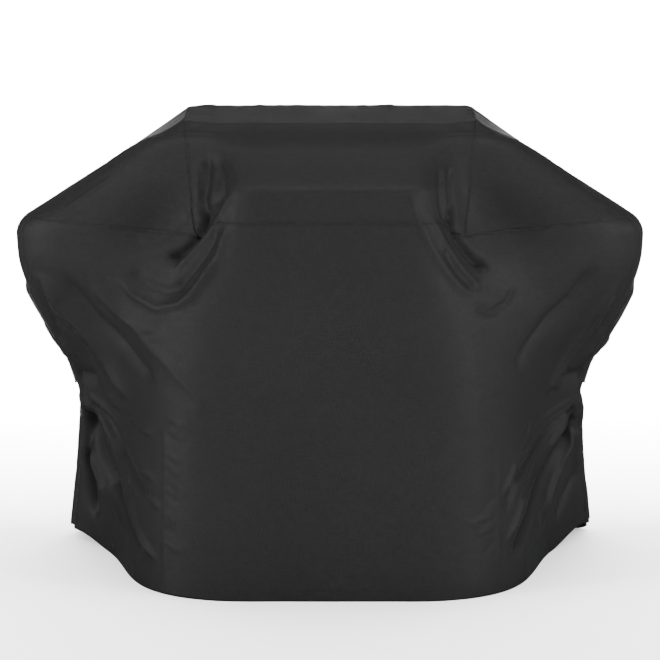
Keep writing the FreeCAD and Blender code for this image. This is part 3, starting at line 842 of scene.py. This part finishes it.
class Shader:
    """A material and short ways to wire its nodes."""

    def __init__(self, name):
        self.material = bpy.data.materials.new(name)
        self.material.use_nodes = True
        self.tree = self.material.node_tree
        self.principled = self.tree.nodes["Principled BSDF"]

    def node(self, kind, **settings):
        made = self.tree.nodes.new(kind)
        for key, value in settings.items():
            setattr(made, key, value)
        return made

    def feed(self, socket, value):
        if isinstance(value, bpy.types.NodeSocket):
            self.tree.links.new(value, socket)
        else:
            socket.default_value = value

    def set(self, **values):
        for key, value in values.items():
            self.feed(self.principled.inputs[key.replace("_", " ")], value)

    def math(self, operation, a, b=0.0, c=0.0):
        made = self.node("ShaderNodeMath", operation=operation)
        for socket, value in zip(made.inputs, (a, b, c)):
            self.feed(socket, value)
        return made.outputs[0]

    def place(self, kind="Object"):
        """x, y and z of the point, or of the normal."""
        split = self.node("ShaderNodeSeparateXYZ")
        self.feed(split.inputs[0], self.node("ShaderNodeTexCoord").outputs[kind])
        return split.outputs[:]

    def noise(self, place, size, detail=2.0):
        """Soft noise at a place, with features of one size, or of one size along each coordinate."""
        sizes = size if isinstance(size, tuple) else (size, size, size)
        joined = self.node("ShaderNodeCombineXYZ")
        for socket, value, length in zip(joined.inputs, place, sizes):
            self.feed(socket, self.math("MULTIPLY", value, 1 / length))
        made = self.node("ShaderNodeTexNoise")
        self.feed(made.inputs["Vector"], joined.outputs[0])
        made.inputs["Scale"].default_value = 1.0
        made.inputs["Detail"].default_value = detail
        return made.outputs["Fac"]

    def between(self, low, high, share):
        """low where share is 0, and high where it is 1."""
        return self.math("MULTIPLY_ADD", share, high - low, low)

    def colour(self, low, high, share):
        ramp = self.node("ShaderNodeValToRGB")
        ramp.color_ramp.elements[0].color = (*low, 1)
        ramp.color_ramp.elements[1].color = (*high, 1)
        self.feed(ramp.inputs[0], share)
        return ramp.outputs[0]

    def bump(self, height, distance, strength=1.0):
        made = self.node("ShaderNodeBump")
        made.inputs["Strength"].default_value = strength
        made.inputs["Distance"].default_value = distance
        self.feed(made.inputs["Height"], height)
        self.feed(self.principled.inputs["Normal"], made.outputs[0])


def grey(level, blue=1.0):
    return (level, level, level * blue)


def across_and_up(shader):
    """Coordinates along the cloth's two thread directions, whichever way the cloth faces."""
    x, y, z = shader.place()
    nx, _, nz = shader.place("Normal")
    sideways = shader.math("GREATER_THAN", shader.math("ABSOLUTE", nx), 0.7)
    upwards = shader.math("GREATER_THAN", shader.math("ABSOLUTE", nz), 0.8)
    across = shader.math("MULTIPLY_ADD", sideways, shader.math("SUBTRACT", y, x), x)
    up = shader.math("MULTIPLY_ADD", upwards, shader.math("SUBTRACT", y, z), z)
    return across, up, (x, y, z)


def ripple(shader, value, pitch):
    """A sine with half its wave in this pitch."""
    return shader.math("SINE", shader.math("MULTIPLY", value, math.pi / pitch))


def plain_weave(shader, across, up, pitch):
    """Height of a plain weave, from 0 between the threads to 1 on top of them."""
    warp, weft = ripple(shader, across, pitch), ripple(shader, up, pitch)
    over = shader.math("GREATER_THAN", shader.math("MULTIPLY", warp, weft), 0.0)
    warp, weft = shader.math("ABSOLUTE", warp), shader.math("ABSOLUTE", weft)
    return shader.math("MULTIPLY_ADD", over, shader.math("SUBTRACT", warp, weft), weft)


WEAVE_PITCH = 0.0011
THREAD_WIDTH = 0.0026  # size of the threads' unevenness across them, and along them
THREAD_LENGTH = 0.015
CLOTH_DARK = 0.0043
CLOTH_LIGHT = 0.0148
CLOTH_GLOSS = 0.45  # metallic, which gives a gloss that doesn't turn white at a grazing view


def cover_cloth():
    """Coated polyester: a fine plain weave with uneven threads and a soft sheen."""
    shader = Shader("cover_cloth")
    across, up, place = across_and_up(shader)
    weave = plain_weave(shader, across, up, WEAVE_PITCH)
    warp = shader.noise((across, up, 3.1), (THREAD_WIDTH, THREAD_LENGTH, 1.0))
    weft = shader.noise((across, up, 7.7), (THREAD_LENGTH, THREAD_WIDTH, 1.0))
    threads = shader.math("MULTIPLY_ADD", shader.math("ADD", warp, weft), 0.8, -0.3)
    broad = shader.noise(place, 0.3)
    share = shader.math("ADD", shader.math("MULTIPLY", weave, 0.30), shader.math("MULTIPLY", threads, 0.55))
    share = shader.math("ADD", share, shader.math("MULTIPLY", broad, 0.15))
    shader.set(Base_Color=shader.colour(grey(CLOTH_DARK), grey(CLOTH_LIGHT, 1.04), share),
               Roughness=shader.between(0.50, 0.36, threads), Metallic=CLOTH_GLOSS,
               Specular_Tint=(0, 0, 0, 1), Specular_IOR_Level=0.0)
    height = shader.math("ADD", shader.math("MULTIPLY", weave, 0.6), shader.math("MULTIPLY", threads, 0.9))
    shader.bump(height, 0.00030, 0.8)
    return shader.material


def coated_tape():
    """Smooth seam tape with a faint weave showing through its coating."""
    shader = Shader("seam_tape")
    across, up, place = across_and_up(shader)
    weave = plain_weave(shader, across, up, 0.0006)
    mottle = shader.noise(place, 0.006, 3.0)
    shader.set(Base_Color=shader.colour(grey(0.004), grey(0.011), mottle),
               Roughness=shader.between(0.30, 0.48, mottle), Specular_IOR_Level=0.25)
    shader.bump(shader.math("ADD", shader.math("MULTIPLY", weave, 0.4), mottle), 0.0002, 0.6)
    return shader.material


def ribbed_webbing():
    """Webbing woven in narrow ribs, each a row of slanted threads that turn at the rib's edge."""
    shader = Shader("webbing")
    x, y, z = shader.place()
    slope = shader.math("MULTIPLY", z, 1 / math.cos(STRAP_TILT))
    slant = shader.math("PINGPONG", slope, WEBBING_HALF / RIBS)
    thread = shader.math("ABSOLUTE", ripple(shader, shader.math("ADD", y, slant), 0.0012))
    uneven = shader.noise((x, y, z), (0.004, 0.002, 0.004))
    share = shader.math("MULTIPLY", shader.math("ADD", thread, uneven), 0.5)
    shader.set(Base_Color=shader.colour(grey(0.0010), grey(0.0060, 1.05), share),
               Roughness=shader.between(0.60, 0.48, thread), Specular_IOR_Level=0.04)
    shader.bump(share, 0.0003, 0.9)
    return shader.material


def sewing_thread():
    """Bonded nylon thread: a glossy twisted yarn."""
    shader = Shader("sewing_thread")
    x, y, z = shader.place()
    total = shader.math("ADD", shader.math("ADD", x, y), z)
    twist = shader.math("ABSOLUTE", ripple(shader, total, 0.0005))
    shader.set(Base_Color=shader.colour(grey(0.002), grey(0.006), twist),
               Roughness=shader.between(0.6, 0.45, twist), Specular_IOR_Level=0.01)
    shader.bump(twist, 0.0001)
    return shader.material


def moulded_plastic():
    """Moulded acetal: a fine spark-eroded grain, a slow mottle and small scuffs."""
    shader = Shader("buckle_plastic")
    place = shader.place()
    grain = shader.noise(place, 0.0005, 3.0)
    mottle = shader.noise(place, 0.02)
    scuffs = shader.noise(place, (0.003, 0.0006, 0.006), 4.0)
    worn = shader.math("MULTIPLY_ADD", shader.math("GREATER_THAN", scuffs, 0.66), 0.4, mottle)
    shader.set(Base_Color=shader.colour(grey(0.0012), grey(0.0060), worn),
               Roughness=shader.between(0.32, 0.48, worn), Specular_IOR_Level=0.10)
    shader.bump(grain, 0.00008, 0.7)
    return shader.material


# ---- camera, light and floor ----

CAMERA_Y = -4.83
CAMERA_Z = 1.314
CAMERA_DOWN = 8.83  # degrees
CAMERA_LENS = 113.0
STUDIO_LIGHT = 1.5
# Name, place, size and power of each light.
LIGHTS = [("top_light", (0, -0.2, 3.4), (3.6, 1.2), 200), ("left_light", (-3.5, -1.8, 1.4), (0.8, 1.6), 295),
          ("right_light", (3.5, -1.8, 1.4), (0.8, 1.6), 295)]
LIT_SPOT = (0, 0, 0.6)
FLOOR_NEAR = -12.0
BACKDROP_Y = 9.0  # the floor bends up into the backdrop from here
BACKDROP_BEND = 3.0
BACKDROP_TOP = 14.0
BACKDROP_HALF = 24.0
GLOW = 14.0  # of the lit backdrop
GLOW_FROM = 0.3  # y where the floor starts to glow
GLOW_RUN = 1.8  # and how much further back it glows fully


def make_camera():
    data = bpy.data.cameras.new("camera")
    data.lens = CAMERA_LENS
    data.sensor_width = 36
    camera = link("camera", data)
    camera.location = (0, CAMERA_Y, CAMERA_Z)
    camera.rotation_euler = (math.radians(90 - CAMERA_DOWN), 0, 0)
    bpy.context.scene.camera = camera


def area_light(name, place, size, power):
    data = bpy.data.lights.new(name, "AREA")
    data.shape = "RECTANGLE"
    data.size, data.size_y = size
    data.energy = power
    light = link(name, data)
    light.location = place
    light.rotation_euler = (Vector(LIT_SPOT) - Vector(place)).to_track_quat("-Z", "Y").to_euler()


def make_stage():
    """A pale floor that bends up into a lit backdrop, in even studio light."""
    world = bpy.data.worlds.new("studio")
    world.use_nodes = True
    background = world.node_tree.nodes["Background"].inputs
    background["Color"].default_value = (1, 1, 1, 1)
    background["Strength"].default_value = STUDIO_LIGHT
    bpy.context.scene.world = world
    for name, place, size, power in LIGHTS:
        area_light(name, place, size, power)
    turns = [math.radians(a) for a in range(0, 91, 6)]
    profile = [(FLOOR_NEAR, 0)]
    profile += [(BACKDROP_Y + BACKDROP_BEND * math.sin(a), BACKDROP_BEND * (1 - math.cos(a))) for a in turns]
    profile.append((BACKDROP_Y + BACKDROP_BEND, BACKDROP_TOP))
    data = bpy.data.meshes.new("floor")
    data.from_pydata([(x, y, z) for y, z in profile for x in (-BACKDROP_HALF, BACKDROP_HALF)], [],
                     [(2 * k, 2 * k + 1, 2 * k + 3, 2 * k + 2) for k in range(len(profile) - 1)])
    data.polygons.foreach_set("use_smooth", [True] * len(data.polygons))
    shader = Shader("pale_floor")
    x, y, z = shader.place()
    cloudy = shader.noise((x, y, 0.0), 1.0)
    away = shader.math("MULTIPLY", shader.math("SUBTRACT", y, GLOW_FROM), 1 / GLOW_RUN)
    glow = shader.math("MINIMUM", shader.math("MAXIMUM", away, 0.0), 1.0)
    shader.set(Base_Color=shader.colour(grey(0.76), grey(0.80), cloudy), Roughness=1.0,
               Specular_IOR_Level=0.0, Emission_Color=(1, 1, 1, 1),
               Emission_Strength=shader.math("MULTIPLY", glow, GLOW))
    data.materials.append(shader.material)
    link("floor", data)


# ---- putting it together ----

TAPE_HALF = 0.011
TAPE_ACROSS = np.linspace(-TAPE_HALF, TAPE_HALF, 5)
TAPE_DEPTHS = [0.0020, 0.0025, 0.0034, 0.0025, 0.0020]
TAPE_THICK = 0.0005
HEM_ACROSS = np.linspace(0.0006, 0.028, 6)
HEM_DEPTHS = [0.0030, 0.0022, 0.0020, 0.0020, 0.0020, 0.0020]
LINE_STEP = 0.006  # between the points along a seam or hem
SEAM_ROWS = (-0.0038, 0.0038)  # stitches on both sides of a seam
HEM_ROW = 0.024


def sideless(name):
    return name.replace("left_", "").replace("right_", "")


def seam_name(first, second):
    """Which seam joins two panels, by their numbers."""
    pair = {sideless(PANELS[first]), sideless(PANELS[second])}
    if "back_panel" in pair:
        return "ridge_seam"
    if pair == {"hood_panel", "front_panel"}:
        return "front_seam"
    if pair == {"hood_panel", "shoulder_panel"}:
        return "hood_seam"
    return "side_seam" if pair == {"front_panel", "side_panel"} else "shoulder_seam"


def seam_edges(faces, numbers, base):
    """Edges of each seam, and of the hem under each panel."""
    beside = {}
    for face, number in zip(faces, numbers):
        for a, b in zip(face, face[1:] + face[:1]):
            beside.setdefault((min(a, b), max(a, b)), []).append(int(number))
    seams, hems = {}, {}
    for (a, b), found in beside.items():
        if len(found) == 1:
            hems.setdefault(PANELS[found[0]].replace("panel", "hem"), []).append((a, b))
        elif found[0] != found[1]:
            name = seam_name(*found)
            if name not in ("ridge_seam", "front_seam"):
                name = ("left_" if base[a][0] < 0 else "right_") + name
            seams.setdefault(name, []).append((a, b))
    return seams, hems


def ordered(line, name):
    """A seam's line, turned to run from left to right, from the middle outwards, or upwards."""
    ends = line[[0, -1]]
    if name.endswith(("hood_seam", "side_seam")):
        start, end = ends[:, 2]
    elif name.endswith("shoulder_seam"):
        start, end = abs(ends[:, 0])
    else:
        start, end = ends[:, 0]
    return line[::-1] if start > end else line


def seam_line(name, edges, places):
    """Evenly spaced points along a seam."""
    return ordered(evenly(places[longest_run(edges)], LINE_STEP), name)


def trimmed(line, start, end):
    """A line of evenly spaced points without the first and last of its length."""
    return line[round(start / LINE_STEP):len(line) - round(end / LINE_STEP)]


TAPE_TRIMS = {"ridge_seam": (0.030, 0.030), "front_seam": (0.0, 0.0), "shoulder_seam": (0.003, 0.013),
              "hood_seam": (0.013, 0.013), "side_seam": (0.030, 0.013)}


def make_panels(surface, numbers, material):
    """The seven panels of cloth, by the names of their nodes."""
    made = {}
    for number, node in enumerate(PANELS):
        own = [face for face, n in zip(surface.faces, numbers) if n == number]
        made[node] = make_panel(node.replace("panel", "cloth"), own, surface, material)
        finish_piece(made[node], node)
    return made


def make_tape(name, line, surface, tape, thread):
    """The tape inside one seam, and the stitches on both sides of it."""
    taped = trimmed(line, *TAPE_TRIMS[sideless(name)])
    piece = strip_on(name + "_binding", surface, taped, TAPE_ACROSS, TAPE_DEPTHS, TAPE_THICK, tape)
    finish_piece(piece, name + "_tape")
    piece = stitches(name + "_stitching", surface, trimmed(line, LINE_STEP, LINE_STEP), SEAM_ROWS, thread)
    finish_piece(piece)


def make_hem(name, line, surface, material, thread):
    """One panel's turned-up hem and its stitches."""
    up = math.copysign(1, surface.frames(line)[len(line) // 2][3][2])
    fold = strip_on(name + "_fold", surface, line, up * HEM_ACROSS, HEM_DEPTHS, CLOTH, material)
    finish_piece(fold, name)
    row = stitches(name + "_stitching", surface, trimmed(line, LINE_STEP, LINE_STEP), (up * HEM_ROW,), thread)
    finish_piece(row)
    return [fold, row]


def make_cloth(material, tape, thread):
    """Every panel, hem, tape and row of stitches of the cover."""
    cover = plain_cover()
    cut_seams(cover)
    data = bpy.data.meshes.new("whole_cloth")
    cover.to_mesh(data)
    cover.free()
    faces = [list(p.vertices) for p in data.polygons]
    base = np.array([v.co for v in data.vertices])
    normals = np.array([v.vector for v in data.vertex_normals])
    numbers = panel_of(np.array([base[face].mean(0) for face in faces]))
    places = base + normals * cloth_out(base)[:, None]
    places[:, 2] = np.where(base[:, 2] < 1e-6, 0.0, np.maximum(places[:, 2], 0.0))
    places[:, 2] += hem_lift(base) - top_fall(base)
    data.vertices.foreach_set("co", places.ravel())
    data.update()
    surface = Surface(places, np.array([v.vector for v in data.vertex_normals]), faces)
    bpy.data.meshes.remove(data)
    seams, hems = seam_edges(faces, numbers, base)
    made = make_panels(surface, numbers, material)
    for name, edges in seams.items():
        make_tape(name, seam_line(name, edges, places), surface, tape, thread)
    for name, edges in hems.items():
        make_hem(name, seam_line(name, edges, places), surface, material, thread)


def finish_piece(piece, node=None, body="cover"):
    if node:
        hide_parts(node)
    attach(piece, body)


def make_straps(material, thread, plastic):
    """Webbing, its sewing and the buckles, on both sides."""
    over = LOW + WEBBING + 2 * THREAD  # clear of the rear strap's stitches as the tail slides over them
    folded = over + WEBBING + LIFT / 2
    bar = SOCKET_BAR[0]
    front = [(0.074, LOW), (bar - 0.004, LOW)] + loop_points(SOCKET_BAR, -90, 90)
    front += [(bar - 0.014, FRONT_TOP + WEBBING), (bar - 0.020, FRONT_TOP), (0.084, FRONT_TOP)]
    rear = [(PLUG_REAR + LIFT, LOW), (REAR_END, LOW)]
    tail = [(PLUG_REAR, LOW), (0.172, LOW)] + loop_points(CENTRE_BAR, 215, 20)
    tail += [(0.1794, over), (TAIL_END, over), (TAIL_END + WEBBING / 2, (over + folded) / 2),
             (TAIL_END, folded), (TAIL_END - TAIL_FOLD, folded)]
    half = WEBBING / 2
    for side, word in ((-1, "left_"), (1, "right_")):
        plug = word + "plug"
        finish_piece(webbing(word + "front_webbing", side, front, material), word + "front_strap")
        runs = box_stitch(*FRONT_BOX, FRONT_TOP + half) + [row_stitch(FRONT_ROW, LOW + half)]
        finish_piece(strap_stitches(word + "front_strap_stitching", side, runs, thread))
        cloth = webbing(word + "rear_webbing", side, rear, material)
        finish_piece(cloth, word + "rear_strap")
        runs = box_stitch(*REAR_BOX, LOW + half)
        sewing = strap_stitches(word + "rear_strap_stitching", side, runs, thread)
        finish_piece(sewing)
        for piece in (cloth, sewing):
            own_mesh(piece)
        cloth = webbing(word + "tail_webbing", side, tail, material)
        finish_piece(cloth, word + "strap_tail", plug)
        sewing = strap_stitches(word + "tail_stitching", side, [row_stitch(TAIL_ROW, folded + half)], thread)
        finish_piece(sewing, body=plug)
        for part in ("buckle_socket", "buckle_plug", "upper_latch_arm", "lower_latch_arm"):
            for place in bpy.data.objects[word + part].material_slots:
                place.material = plastic


make_camera()
make_stage()
THREAD_MATERIAL = sewing_thread()
make_cloth(cover_cloth(), coated_tape(), THREAD_MATERIAL)
make_straps(ribbed_webbing(), THREAD_MATERIAL, moulded_plastic())
